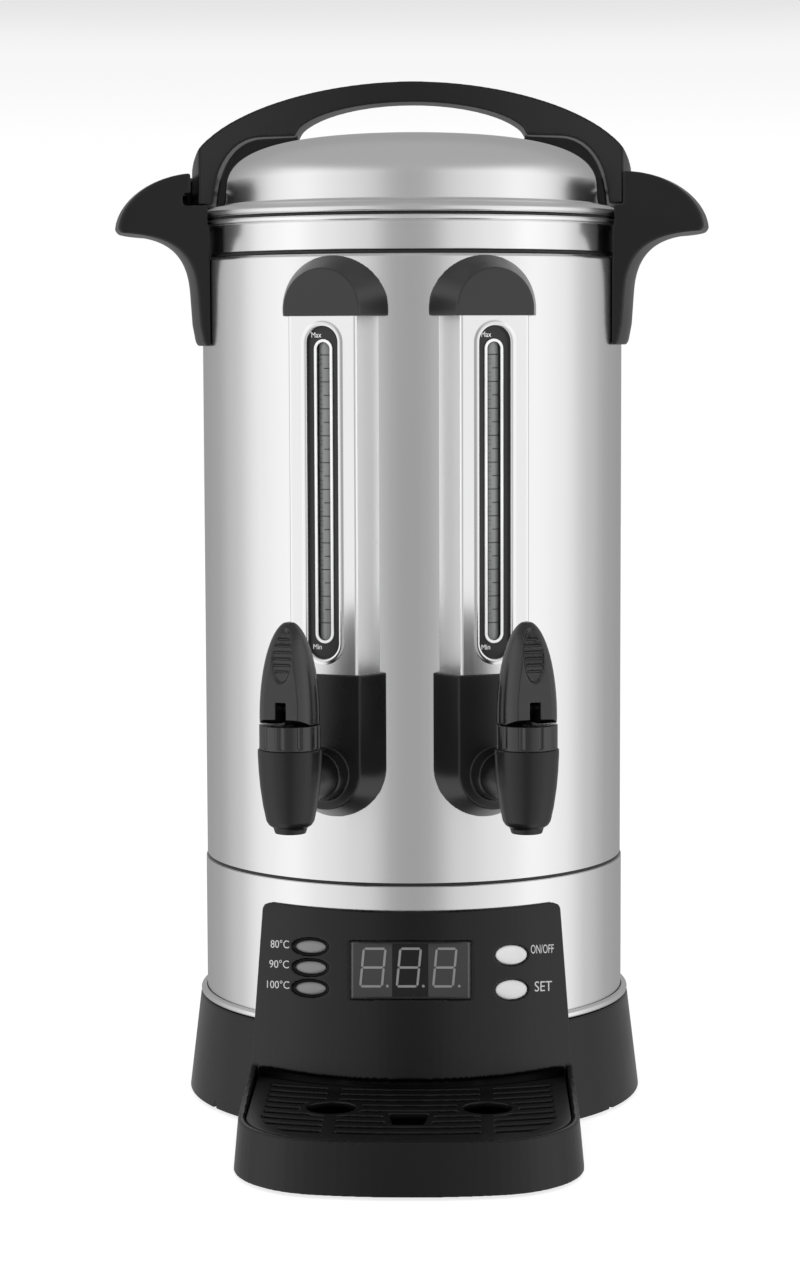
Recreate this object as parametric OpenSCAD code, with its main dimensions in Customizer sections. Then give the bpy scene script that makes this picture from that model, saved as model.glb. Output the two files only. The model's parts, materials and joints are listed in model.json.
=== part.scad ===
// Hot water urn with two lever taps, sight gauges, control panel and drip tray.
// Millimetres. Heights inside the modules count from the lower edge of the
// base skirt; place() lifts everything by the height of the rubber feet.

/* [Body] */
// Outer radius of the upper steel shell
body_r = 110; // [109.6:0.1:110.4]
// Thickness of the sheet steel
sheet = 0.8; // [0.6:0.1:1]
// Height of the seam between the shell and the lower band
seam_z = 124.8; // [123:0.2:126]
// Height of the lower end of the water tank
tank_floor = 131; // [130:0.5:134]

/* [Base] */
// Height of the rubber feet
foot_h = 2; // [1.5:0.5:4]
// Radius of the base skirt at its lower edge
skirt_r = 120.2; // [119.8:0.1:120.7]
// Radius of the circle on which the feet stand
feet_r = 92; // [80:1:96]

/* [Lid] */
// Height of the crown of the lid
dome_top = 503.9; // [503.4:0.1:504.4]
// Height of the top of the lid handle
arch_top = 530.6; // [529:0.1:533]
// Half width of the grip of the lid handle
arch_half = 13.5; // [12:0.5:15]

/* [Side grips] */
// Distance from the urn's axis to the tip of a side grip
grip_reach = 155.3; // [150:0.1:158]
// Half width of a side grip
grip_half = 40; // [38:0.5:42]

/* [Gauge columns] */
// Angle of each gauge column from the front
column_angle = 20; // [19.5:0.1:20.5]
// Distance from the urn's axis to the front face of a column
column_face = 124; // [123.5:0.1:124.5]
// Half width of the column's front face
column_half = 17.7; // [17.3:0.1:18.1]

/* [Taps] */
// Distance from the urn's axis to the axis of a tap
tap_reach = 167; // [166:0.5:170]
// How far the valve stem lifts
stem_travel = 4; // [3:0.5:4]

/* [Control panel] */
// Lean of the control panel from the vertical
panel_lean = 8.8; // [8.6:0.1:9]
// Size of a push button across its longer axis
button_w = 16; // [14:0.5:17]
// Travel of a push button
button_travel = 1.2; // [0.8:0.1:1.2]

/* [Drip tray] */
// Radius of the tray's front edge about the urn's axis
tray_front = 231; // [228:0.2:234]
// Half width of the tray at the bottom
tray_half = 84.5; // [83.9:0.1:84.7]
// Width of the slots in the grille
slot_w = 4.6; // [4.2:0.1:5]
// Distance between two rows of slots
slot_pitch = 10.45; // [10:0.05:10.5]

/* [Fits] */
// Radial clearance of a moving pin in its hole
running = 0.05; // [0.03:0.01:0.08]
// Gap around parts that lift or slide
gap = 0.4; // [0.35:0.05:0.5]

/* [Hidden] */
$fn = 96;

shell_top = 439.6;          // shoulder of the upper shell
neck_r = body_r - 3.8;      // neck between shell and tank rim
neck_top = 455.6;
tank_r = body_r - 6;
rim_r = body_r - 1;
skirt_top_r = body_r + 4;
skirt_h = 51;
trim_top = 55;
band_r = body_r + 0.6;
shank_z = 183;              // axis of the tap shanks
shank_r = 8;
collar_top = 212.7;         // top of the tap bonnet
pivot_z = collar_top + stem_travel + 4;
cap_z = 408.8;              // column cover meets its cap
housing_z = 232.5;          // column cover meets the tap housing
cap_top = 412;              // centre of the cap's rounded end
housing_bottom = 184.6;     // centre of the housing's rounded end
tube_y = -116.5;            // axis of a sight tube, measured from the urn's axis
panel_r = 110;
panel_y = -2.7;
panel_z = 107.5;
control_x = 50.5;
rim_z = 25.5;
row_1 = 126.4;
well_r = 121.8;
tray_corner = 50;           // radius of the tray's front corners
corner_y = sqrt(pow(tray_front - tray_corner, 2) - pow(tray_half - tray_corner, 2));
// the model stands centred on the middle of its footprint
origin_y = (tray_front - skirt_r) / 2;

function bez(a, b, c, d, n) = [for (i = [0:n]) let (t = i / n, s = 1 - t) s*s*s*a + 3*s*s*t*b + 3*s*t*t*c + t*t*t*d];

module place() { translate([0, origin_y, foot_h]) children(); }
module ring(ro, ri, z0, z1) { translate([0, 0, z0]) difference() { cylinder(r = ro, h = z1 - z0); translate([0, 0, -1]) cylinder(r = ri, h = z1 - z0 + 2); } }
module disc(r, z0, z1) { translate([0, 0, z0]) cylinder(r = r, h = z1 - z0); }
// outline in the x-z plane given depth from y0 back to y0 - depth
module slab(y0, depth) { translate([0, y0, 0]) rotate([90, 0, 0]) linear_extrude(depth) children(); }
// radial cylinder on the front side (-y) of the local frame
module radial(r, y0, y1, z, n = 96) { translate([0, y1, z]) rotate([-90, 0, 0]) cylinder(r = r, h = y0 - y1, $fn = n); }
// elliptic outline with half axes a and b
module oval(a, b) { polygon([for (i = [0:47]) [a * cos(i * 7.5), b * sin(i * 7.5)]]); }
module stadium(w, z0, z1) {
    translate([-w / 2, z0 + w / 2]) square([w, z1 - z0 - w]);
    for (z = [z0 + w / 2, z1 - w / 2]) translate([0, z]) circle(r = w / 2);
}
module at_column(side) { rotate([0, 0, side * column_angle]) children(); }
module at_tap(side) { at_column(side) translate([0, -tap_reach, 0]) children(); }
module in_panel() { translate([0, panel_y, panel_z]) rotate([-panel_lean, 0, 0]) children(); }
// outline drawn in the panel plane, from y0 back to y0 - depth along the panel's normal
module panel_cut(x, s, y0, depth) { translate([x, y0, s]) rotate([90, 0, 0]) linear_extrude(depth) children(); }

// ---------------------------------------------------------------- body
module outer_shell() color("silver") place() difference() {
    rotate_extrude() polygon([[body_r, 118], [body_r, shell_top - 1.2], [body_r - 1.2, shell_top], [neck_r - 1.8, shell_top], [neck_r - 1.8, shell_top - sheet],
        [body_r - sheet - 0.6, shell_top - sheet], [body_r - sheet, shell_top - sheet - 0.6], [body_r - sheet, 118]]);
    for (s = [-1, 1]) at_column(s) {
        radial(shank_r + 0.3, -90, -125, shank_z);
        radial(4.3, -90, -125, 420);
    }
    for (a = [-10, 10, 170, 190]) rotate([0, 0, a + 90]) radial(2.1, -100, -125, 415);
}
module neck_ring() color("silver") place() rotate_extrude() polygon([[neck_r - 1.8, shell_top], [neck_r - 1, shell_top], [neck_r - 1, shell_top + 1.5], [neck_r, shell_top + 2.3],
    [neck_r, neck_top], [neck_r - sheet, neck_top], [neck_r - sheet, shell_top + 2.7], [neck_r - 1.8, shell_top + 1.8]]);
module inner_tank() color("gainsboro") place() difference() {
    rotate_extrude() union() {
        polygon([[0, tank_floor], [tank_r - 8, tank_floor], [tank_r, tank_floor + 8], [tank_r, neck_top], [rim_r - 1.5, neck_top], [rim_r - 1.5, neck_top + sheet],
            [tank_r - sheet, neck_top + sheet], [tank_r - sheet, tank_floor + 8.33], [tank_r - 8.33, tank_floor + sheet], [0, tank_floor + sheet]]);
        translate([rim_r - 1.55, neck_top + 1.7]) circle(r = 1.55);
    }
    for (s = [-1, 1]) at_column(s) {
        radial(shank_r + 0.3, -90, -125, shank_z);
        radial(4.3, -90, -125, 420);
    }
    translate([0, -45, tank_floor - 1]) cylinder(r = 3.1, h = 3);
}
module lower_band() color("silver") place() difference() {
    rotate_extrude() polygon([[band_r, skirt_h], [band_r, seam_z - 0.5], [band_r - 0.25, seam_z], [band_r - 0.5, seam_z], [band_r - 0.5, 118], [band_r - 3, 118], [band_r - 3, 117.2], [band_r - 0.5, 117.2], [band_r - 0.5, skirt_h]]);
    translate([-62, -130, 60]) cube([124, 60, 44]);
}
module trim_ring() color("silver") place() rotate_extrude() intersection() {
    union() {
        translate([band_r, skirt_h]) square([1.3, trim_top - skirt_h]);
        translate([skirt_top_r - 2.1, skirt_h + 2]) circle(r = 2);
    }
    translate([band_r + 0.1, skirt_h - 2]) square([10, 10]);
}

// ---------------------------------------------------------------- base
module skirt_solid(o) { translate([0, 0, 0]) cylinder(r1 = skirt_r + o, r2 = skirt_top_r + o, h = skirt_h); }
module base_skirt() color("dimgray") place() difference() {
    union() {
        rotate_extrude() polygon([[skirt_r, 0], [skirt_top_r, skirt_h], [body_r - 1.5, skirt_h], [body_r - 1.5, skirt_h - 2.5], [skirt_top_r - 2.6, skirt_h - 2.5], [skirt_r - 2.7, 0]]);
        for (a = [45, 135, 225, 315]) rotate([0, 0, a]) translate([107, 0, 2]) intersection() { cylinder(r = 5, h = skirt_h - 3); translate([-107, 0, -2]) skirt_solid(-1); }
    }
    for (a = [45, 135, 225, 315]) rotate([0, 0, a]) translate([107, 0, 1]) cylinder(r = 1.6, h = 16);
    for (a = [31, 149, 211, 329]) rotate([0, 0, a]) translate([skirt_r - 6, 0, -0.01]) rotate([90, 0, 90]) linear_extrude(8) polygon([[-2.2, 0], [2.2, 0], [1.3, 3.1], [0.5, 4.3], [-0.5, 4.3], [-1.3, 3.1]]);
    translate([-14, 100, 15.8]) cube([28, 25, 20.4]);
    translate([-15.7, 116.8, 13.8]) cube([31.4, 10, 24.4]);
}
module base_plate() color("dimgray") place() difference() {
    disc(skirt_r - 3.6, 0, 2);
    for (a = [45, 135, 225, 315]) rotate([0, 0, a]) {
        translate([feet_r, 0, -1]) cylinder(r = 2.6, h = 4);
        translate([107, 0, -1]) cylinder(r = 2.1, h = 4);
    }
    for (i = [-4:4]) translate([i * 9 - 2, -30, -1]) cube([4, 34, 4]);
}
module rubber_feet() color("black") place() for (a = [45, 135, 225, 315]) rotate([0, 0, a]) translate([feet_r, 0, -foot_h]) {
    cylinder(r1 = 8.4, r2 = 9, h = foot_h);
    cylinder(r = 2.5, h = foot_h + 2);
    translate([0, 0, foot_h + 2]) cylinder(r1 = 3.6, r2 = 2.2, h = 2.4);
}
module base_screws() color("gray") place() for (a = [45, 135, 225, 315]) rotate([0, 0, a]) translate([107, 0, 0]) difference() {
    union() { translate([0, 0, -1.3]) cylinder(r1 = 2.8, r2 = 3.4, h = 1.3); cylinder(r = 1.55, h = 14); }
    translate([0, 0, -1.4]) cylinder(r = 1.5, h = 1, $fn = 6);
}

// ---------------------------------------------------------------- side grips
module grip_profile() polygon(concat(
    [for (p = [[body_r + 0.25, 394.2], [body_r + 0.25, 455.2], [body_r + 1.2, 455.2], [body_r + 1.2, 465.6], [115.6, 465.6]]) p],
    [for (i = [0:14]) [bez(115.6, 135, grip_reach - 1.3, grip_reach, 14)[i], bez(482.6, 483, 469.8, 454.4, 14)[i]]],
    [for (i = [0:14]) [bez(grip_reach - 1.6, 133, 118.5, 116.6, 14)[i], bez(452.2, 451, 446.2, 423, 14)[i]]],
    [[115.4, 405], [113.8, 396.4], [112.6, 394.2]]));
module side_grip() place() difference() {
    intersection() { rotate_extrude() grip_profile(); translate([90, -grip_half, 380]) cube([90, 2 * grip_half, 120]); }
    // bayonet channel, open at the top and at one end
    intersection() {
        union() { ring(119.3, 115, 472.2, 490); ring(123.3, 115, 466, 472.21); }
        rotate([0, 0, -4.5]) translate([100, 0, 460]) cube([50, 60, 40]);
    }
    for (a = [-10, 10]) rotate([0, 0, a + 90]) radial(2.05, -100, -114.7, 415);
}
module side_grip_left() color("dimgray") translate([0, 2 * origin_y, 0]) rotate([0, 0, 180]) side_grip();
module side_grip_right() color("dimgray") side_grip();
module side_grip_screws() color("gray") place() for (a = [-10, 10, 170, 190]) rotate([0, 0, a + 90]) union() {
    radial(2, -106, -114.3, 415);
    radial(3.5, -106.4, -body_r + sheet + 0.1, 415);
}

// ---------------------------------------------------------------- gauge columns
// half widths of a column's cover, cap and tap housing at distance y in front of the axis
function cover_w(y, o = 0) = column_half + o + (column_face - y) * 0.345;
function cap_w(y, o = 0) = column_half + 2.4 + o + (column_face + 1 - y) * 0.45;
function housing_w(y, o = 0) = column_half + 1.8 + o + (column_face + 1 - y) * 0.39;
// straight part of a column: half width a beside the body, b at the front face
module column_solid(a, b, face, z0, z1) { difference() {
    translate([0, 0, z0]) linear_extrude(z1 - z0) polygon([[-a, -104], [a, -104], [b, -face], [-b, -face]]);
    disc(body_r + 0.05, z0 - 1, z1 + 1);
} }
// cone about the radial line at height z, the rounded end of a column
module cone_end(a, b, face, z) { translate([0, -104, z]) rotate([90, 0, 0]) cylinder(r1 = a, r2 = b, h = face - 104); }
module column_cover(s) place() at_column(s) difference() {
    union() {
        difference() {
            column_solid(cover_w(104), cover_w(column_face), column_face, housing_z, cap_z);
            column_solid(cover_w(104, -1.06), cover_w(column_face - 1, -1.06), column_face - 1, housing_z - 1, cap_z + 1);
        }
        slab(-column_face + 0.5, 1.3) stadium(22.4, 237, 407);
    }
    slab(-100, 40) stadium(16.2, 240.1, 403.9);
}
module column_cover_left() color("silver") column_cover(-1);
module column_cover_right() color("silver") column_cover(1);
module column_cap(s) place() at_column(s) difference() {
    f = column_face + 1;
    union() { column_solid(cap_w(104), cap_w(f), f, cap_z, cap_top); cone_end(cap_w(104), cap_w(f), f, cap_top); }
    difference() {
        union() { translate([0, 0, cap_z - 1]) linear_extrude(cap_top - cap_z + 1) polygon([[-cap_w(103, -3.8), -103], [cap_w(103, -3.8), -103], [cap_w(f, -3.8), -f + 1.2], [-cap_w(f, -3.8), -f + 1.2]]); cone_end(cap_w(104, -3.8), cap_w(f, -3.8), f - 1.2, cap_top); }
        translate([-50, -150, cap_z + 26]) cube([100, 100, 30]);
    }
    translate([-50, -150, cap_z - 60]) cube([100, 100, 60]);
    disc(body_r + 0.05, cap_z - 60, cap_z + 60);
}
module column_cap_left() color("dimgray") column_cap(-1);
module column_cap_right() color("dimgray") column_cap(1);
module tap_housing(s) place() at_column(s) difference() {
    f = column_face + 1;
    union() {
        column_solid(housing_w(104), housing_w(f), f, housing_bottom, housing_z);
        cone_end(housing_w(104), housing_w(f), f, housing_bottom);
        // boss around the tap shank
        translate([0, -column_face, shank_z]) rotate([90, 0, 0]) cylinder(r1 = 13.4, r2 = 12.2, h = 10);
    }
    translate([0, 0, housing_bottom]) linear_extrude(60) polygon([[-housing_w(103, -3), -103], [housing_w(103, -3), -103], [housing_w(f, -3), -f + 1.2], [-housing_w(f, -3), -f + 1.2]]);
    cone_end(housing_w(104, -3), housing_w(f, -3), f - 1.2, housing_bottom);
    disc(body_r + 0.05, 150, 240);
    radial(shank_r + 0.3, -90, -150, shank_z);
}
module tap_housing_left() color("dimgray") tap_housing(-1);
module tap_housing_right() color("dimgray") tap_housing(1);
module gauge_plates() color("black") place() for (s = [-1, 1]) at_column(s) difference() {
    slab(-column_face + 2.3, 1.2) stadium(19, 238.8, 405.2);
    slab(-100, 40) stadium(7, 249.1, 396.1);
}
module gauge_frames() color("white") place() for (s = [-1, 1]) at_column(s) slab(-column_face + 1.1, 0.7) difference() { stadium(9.7, 247.7, 397.5); stadium(6.9, 249.1, 396.1); }
module sight_tubes() color("lightblue") place() for (s = [-1, 1]) at_column(s) translate([0, tube_y, 0]) ring(4.5, 3.4, 200, 412);
module tube_seals() color("white") place() for (s = [-1, 1]) at_column(s) translate([0, tube_y, 0]) { ring(5.9, 4.5, 200, 206); ring(5.9, 4.5, 406, 412); }
module gauge_fittings() color("whitesmoke") place() for (s = [-1, 1]) at_column(s) {
    difference() {
        translate([-9, -column_face + 2, 174]) cube([18, 11.2, 32]);
        radial(shank_r + 0.1, -90, -150, shank_z);
        translate([0, tube_y, 190]) cylinder(r = 3, h = 30);
        translate([0, tube_y, 200]) cylinder(r = 5.9, h = 30);
    }
    difference() {
        union() { translate([-9, -column_face + 2, 406]) cube([18, 11.2, 18.4]); radial(4.1, -98, -114, 420); }
        translate([0, tube_y, 400]) cylinder(r = 5.9, h = 12);
        translate([0, tube_y, 400]) cylinder(r = 3, h = 20);
        radial(2, -90, tube_y, 420);
    }
}

// ---------------------------------------------------------------- taps
module tap_body(s) place() at_tap(s) difference() {
    union() {
        rotate_extrude() polygon([[0, 159.6], [7.5, 159.6], [8.3, 162.4], [10.4, 163.7], [11.65, 165.7], [13.2, 173], [14.5, 182], [15.2, 190], [15.6, 198], [15.6, 200.8], [0, 200.8]]);
        translate([0, tap_reach, 0]) { radial(shank_r, -92, -tap_reach, shank_z); radial(11.2, -column_face - 10.2, -tap_reach, shank_z); }
    }
    translate([0, 0, 159]) cylinder(r = 5, h = 20);
    translate([0, 0, 178]) cylinder(r = 11.6, h = 30);
    translate([0, 0, 194]) cylinder(r = 13, h = 10);
    translate([0, tap_reach, 0]) radial(4.5, -80, -tap_reach, shank_z);
    // feed to the sight tube
    translate([0, tap_reach + tube_y, shank_z]) cylinder(r = 2.4, h = 12);
}
module tap_body_left() color("dimgray") tap_body(-1);
module tap_body_right() color("dimgray") tap_body(1);
module tap_bonnet(s) place() at_tap(s) difference() {
    union() { disc(12.95, 194, 201); disc(14.9, 200.8, collar_top); }
    disc(11, 193, 210.2);
    disc(2.5 + running, 200, 220);
    for (i = [0:9]) rotate([0, 0, i * 36 - 84.4]) translate([16.2, 0, 201.8]) cylinder(r = 2, h = 12, $fn = 48);
}
module tap_bonnet_left() color("dimgray") tap_bonnet(-1);
module tap_bonnet_right() color("dimgray") tap_bonnet(1);
module tap_stem(s) place() at_tap(s) {
    disc(2.5, 184, pivot_z);
    disc(6.2, 184, 186);
    // eye and cross pin
    translate([-2.5, 0, pivot_z]) rotate([0, 90, 0]) cylinder(r = 3, h = 5);
    translate([-10, 0, pivot_z]) rotate([0, 90, 0]) cylinder(r = 1.5, h = 20);
}
module tap_stem_left() color("whitesmoke") tap_stem(-1);
module tap_stem_right() color("whitesmoke") tap_stem(1);
module tap_seat(s) place() at_tap(s) difference() {
    union() { translate([0, 0, 178.05]) cylinder(r1 = 7.6, r2 = 8.4, h = 7.95); }
    disc(6.2, 184, 190);
}
module tap_seat_left() color("orange") tap_seat(-1);
module tap_seat_right() color("orange") tap_seat(1);
module tap_spring(s) place() at_tap(s) ring(5.6, 4.4, 186, 210.2);
module tap_spring_left() color("gray") tap_spring(-1);
module tap_spring_right() color("gray") tap_spring(1);
// rocking lever: a pointed dome, cut by a sloping front, a rounded back and a bevelled foot
module tap_lever(s) place() at_tap(s) difference() {
    intersection() {
        rotate_extrude() polygon(concat([[0, 210], [14.4, 210]], [for (t = [0:5:80]) [14.6 * cos(t), 216 + 46.6 * sin(t)]], [[0, 262.4]]));
        translate([-30, 0, 0]) rotate([90, 0, 90]) linear_extrude(60)
            polygon([[-11.6, 215.9], [-6, 213.4], [14.6, 213.2], [14.6, 226], [12.5, 240], [9, 252], [4.5, 262.4], [-3.2, 262.4], [-6.2, 257], [-9, 250], [-10.5, 241], [-11.2, 230], [-11.5, 218.5]]);
    }
    // slot that swings over the stem
    translate([-2.7, -20, 205]) cube([5.4, 23.4, 19.2]);
    translate([-10.3, 0, pivot_z]) rotate([0, 90, 0]) cylinder(r = 1.5 + running, h = 20.6);
}
module tap_lever_left() color("dimgray") tap_lever(-1);
module tap_lever_right() color("dimgray") tap_lever(1);
module tap_washers() color("white") place() for (s = [-1, 1]) at_column(s) difference() {
    radial(12, -100.3, -102.4, shank_z);
    radial(shank_r + 0.05, -90, -120, shank_z);
}
module tap_lock_nuts() color("gray") place() for (s = [-1, 1]) at_column(s) difference() {
    radial(13, -94.3, -100.3, shank_z, 6);
    radial(shank_r + 0.05, -90, -120, shank_z);
}

// ---------------------------------------------------------------- front housing and controls
// half width of the panel at height z, level with the tray's side where they meet
function panel_w(z) = tray_w(30, 0) - 0.0743 * (z - 30);
module panel_front(o, z0, z1, c) {
    square_w = panel_w(z1 - c) - o;
    polygon([[-panel_w(z0) + o, z0], [panel_w(z0) - o, z0], [square_w, z1 - c], [-square_w, z1 - c]]);
    translate([-square_w + c, z1 - c - 0.01]) square([2 * square_w - 2 * c, c + 0.01]);
    for (s = [-1, 1]) translate([s * (square_w - c), z1 - c]) circle(r = c);
}
function tray_w(z, o) = tray_half - 0.0933 * z - o;
// corner points of the tray's plan at height z, inset by o: two corner arcs and the front arc between them
function tray_ring(z, o) = let (w = tray_w(z, o), c = tray_half - tray_corner, f = tray_front - tray_half + w, a = atan2(corner_y, c)) concat(
    [[w, -60, z]],
    [for (i = [0:14]) let (t = a * i / 14) [c + (w - c) * cos(t), -corner_y - (w - c) * sin(t), z]],
    [for (i = [1:15]) let (t = a + (180 - 2 * a) * i / 16) [f * cos(t), -f * sin(t), z]],
    [for (i = [0:14]) let (t = 180 - a + a * i / 14) [-c + (w - c) * cos(t), -corner_y - (w - c) * sin(t), z]],
    [[-w, -60, z]]);
// solid of the tray's plan, inset by o0 at z0 and by o1 at z1
module tray_solid(z0, z1, o0, o1) {
    n = 47;
    polyhedron(concat(tray_ring(z0, o0), tray_ring(z1, o1)), concat([[for (i = [n - 1:-1:0]) i], [for (i = [0:n - 1]) i + n]], [for (i = [0:n - 1]) let (j = (i + 1) % n) [i, j, j + n, i + n]]));
}
module front_housing() color("dimgray") place() difference() {
    union() {
        intersection() {
            slab(-55, 90) panel_front(0, 30, 112.8, 5);
            union() {
                intersection() { in_panel() translate([0, 0, -120]) cylinder(r = panel_r, h = 160); translate([-100, -150, 30]) cube([200, 100, 77]); }
                translate([0, panel_y - 0.8, 107]) cylinder(r1 = panel_r + 0.4, r2 = panel_r - 1.2, h = 5.8);
            }
        }
        difference() {
            tray_solid(0, 30, 0, 0);
            translate([-100, 0, 0]) rotate([90, 0, 90]) linear_extrude(200) polygon([[-92, 30.1], [-92, 30], [-186, rim_z], [-250, rim_z], [-250, 40], [-92, 40]]);
        }
    }
    // room for the body behind
    skirt_solid(0.15);
    disc(skirt_top_r + 0.15, skirt_h - 0.1, trim_top + 0.1);
    disc(band_r + 0.15, trim_top, 130);
    // hollow behind the panel
    intersection() {
        slab(-55, 90) panel_front(2.6, 32.6, 108.5, 3);
        in_panel() translate([0, 0, -120]) cylinder(r = panel_r - 3, h = 160);
    }
    // well of the drip tray
    difference() { tray_solid(3, 30, 5.6, 3); disc(well_r, 0, 31); }
    in_panel() {
        panel_cut(0, -40.9, -95, 20) square([60.4, 28.9], center = true);
        for (i = [-1:1]) panel_cut(-control_x, -39.9 + i * 10.4, -80, 40) oval(9.6, 4.5);
        for (z = [-33.6, -51]) panel_cut(control_x, z, -80, 40) oval(button_w / 2 + gap, 4.85 + gap);
    }
}
module display_window() color("dimgray") place() in_panel() panel_cut(0, -40.9, -103.8, 1.4) square([60, 28.5], center = true);
module display_module() color("black") place() in_panel() {
    panel_cut(0, -40.9, -93, 10.6) square([57.6, 27.6], center = true);
    for (z = [-51.9, -29.9]) panel_cut(0, z, -81.65, 11.4) square([48, 1], center = true);
}
module indicator_lenses() color("gray") place() in_panel() for (i = [-1:1]) intersection() {
    panel_cut(-control_x, -39.9 + i * 10.4, -80, 40) oval(9.5, 4.4);
    translate([0, 0, -70]) ring(panel_r + 0.3, panel_r - 4, 0, 60);
}
module control_board() color("darkgreen") place() in_panel() {
    panel_cut(0, -40.9, -80, 1.6) square([116, 36], center = true);
    for (i = [-1:1]) translate([-control_x, -81.6, -39.9 + i * 10.4]) rotate([90, 0, 0]) { cylinder(r = 2.4, h = 5.5); translate([0, 0, 5.5]) cylinder(r1 = 2.4, r2 = 1.2, h = 1.4); }
    translate([-12, -80, -48]) cube([24, 5, 8]);
}
module push_switches() color("black") place() in_panel() for (z = [-33.6, -51]) translate([control_x, -81.6, z]) {
    translate([-3, -3, -3]) cube([6, 3, 6]);
    rotate([90, 0, 0]) cylinder(r = 1.7, h = 5.3 - button_travel);
}
module push_button(z) place() in_panel() {
    intersection() { panel_cut(control_x, z, -80, 40) oval(button_w / 2, 4.85); translate([0, 0, -80]) ring(panel_r + 1, panel_r - 6, 0, 80); }
    intersection() { panel_cut(control_x, z, -80, 40) oval(button_w / 2 + 1.3, 6.1); translate([0, 0, -80]) ring(panel_r - 3.5, panel_r - 5, 0, 80); }
    translate([control_x, -87, z]) rotate([90, 0, 0]) cylinder(r = 1.8, h = 8);
}
module power_button() color("white") push_button(-33.6);
module set_button() color("white") push_button(-51);

// ---------------------------------------------------------------- drip tray
module drip_basin() color("dimgray") place() difference() {
    intersection() { tray_solid(3.2, 22.5, 8.6, 4.3); translate([-100, -240, 0]) cube([200, 240 - 122.4, 40]); }
    intersection() { tray_solid(5, 23, 10.4, 6.1); translate([-100, -240, 0]) cube([200, 240 - 124.2, 40]); }
}
module slot_rows() for (i = [0:8]) translate([0, 235 - row_1 - i * slot_pitch]) difference() { circle(r = 235 + slot_w / 2); circle(r = 235 - slot_w / 2); }
module grille_plan() {
    difference() {
        union() {
            translate([6.3 - tray_half, -corner_y]) square([2 * tray_half - 12.6, corner_y - 86.5]);
            for (s = [-1, 1]) translate([s * (tray_half - tray_corner), -corner_y]) circle(r = tray_corner - 6.3);
            intersection() { circle(r = tray_front - 6.3); polygon([for (p = [[-1, 1], [1, 1], [1.4, 1.4], [-1.4, 1.4]]) [p[0] * (tray_half - tray_corner), -p[1] * corner_y]]); }
        }
        circle(r = well_r + 0.5);
    }
}
module grille_slots() {
    difference() {
        intersection() {
            slot_rows();
            union() { translate([-70, -corner_y]) square([140, corner_y - 96.5]); for (s = [-1, 1]) translate([s * (tray_half - tray_corner), -corner_y]) circle(r = tray_corner - 14); translate([tray_corner - tray_half, -240]) square([2 * (tray_half - tray_corner), 240 - corner_y]); }
        }
        circle(r = well_r + 1.6);
        // ribs, ring seats and the frame of the finger hole
        for (s = [-1, 1]) { translate([s * 38 - 3.2, -240]) square([6.4, 160]); translate([s * 38, -160.5]) circle(r = 15.6); }
        polygon([[-13.5, -167.5], [13.5, -167.5], [10.6, -197], [-10.6, -197]]);
    }
    for (s = [-1, 1]) translate([s * 38, -160.5]) circle(r = 12);
    polygon([[-9.8, -171.5], [9.8, -171.5], [7.4, -193.5], [-7.4, -193.5]]);
}
module drip_grille() color("dimgray") place() translate([0, 0, 22.5]) linear_extrude(2.7) difference() { grille_plan(); grille_slots(); }

// ---------------------------------------------------------------- heating and electrics
module heat_plate() color("lightgray") place() difference() { disc(78, tank_floor - 3, tank_floor); translate([0, -45, tank_floor - 4]) cylinder(r = 6.2, h = 6); }
module heating_element() color("gray") place() {
    translate([0, 0, tank_floor - 7.1]) rotate([0, 0, 98]) rotate_extrude(angle = 344) translate([60, 0]) circle(r = 4, $fn = 48);
    for (s = [-1, 1]) rotate([0, 0, 90 + s * 8]) translate([60, 0, tank_floor - 23]) cylinder(r = 3, h = 16);
}
module dry_boil_thermostat() color("tan") place() { disc(13, tank_floor - 11, tank_floor - 3); for (s = [-1, 1]) translate([s * 8 - 0.4, -3, tank_floor - 20]) cube([0.8, 6, 10]); }
module temperature_probe() color("gray") place() translate([0, -45, 0]) { disc(3, tank_floor - 14, tank_floor + 12); disc(6, tank_floor - 3, tank_floor); }
module power_board() color("green") place() {
    for (x = [-30, 30], y = [22, 58]) translate([x, y, 2]) cylinder(r = 3, h = 10);
    translate([-36, 16, 12]) cube([72, 50, 1.6]);
    translate([-28, 22, 13.6]) cube([18, 22, 16]);
    translate([-2, 24, 13.6]) cube([15, 19, 15]);
    translate([22, 24, 13.6]) cube([9, 20, 12]);
    translate([-14, 55, 13.6]) cube([28, 11, 9]);
}
module power_inlet() color("black") place() difference() {
    union() {
        translate([-13.8, 96, 16]) cube([27.6, 20.9, 20]);
        translate([-15.5, 116.9, 14]) cube([31, 2.5, 24]);
        for (x = [-8, 0, 8]) translate([x - 3, 90, 24]) cube([6, 6.01, 0.8]);
    }
    difference() {
        translate([-12.1, 99, 17.8]) cube([24.2, 30, 16.4]);
        for (p = [[-7, 24], [7, 24], [0, 28]]) translate([p[0] - 1, 98, p[1] - 2]) cube([2, 15, 4]);
    }
}
module wiring_harness() color("saddlebrown") place() {
    for (x = [-8, 0, 8]) translate([x, 66, 19]) rotate([-90, 0, 0]) cylinder(r = 1.7, h = 30, $fn = 24);
    for (s = [-1, 1]) rotate([0, 0, 90 + s * 8]) translate([60, 0, 22.6]) cylinder(r = 1.8, h = tank_floor - 23 - 22.6, $fn = 24);
    translate([-10, -82.5, 13.8]) { cube([20, 98.4, 1]); cube([20, 1, 56.5]); }
}

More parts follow.
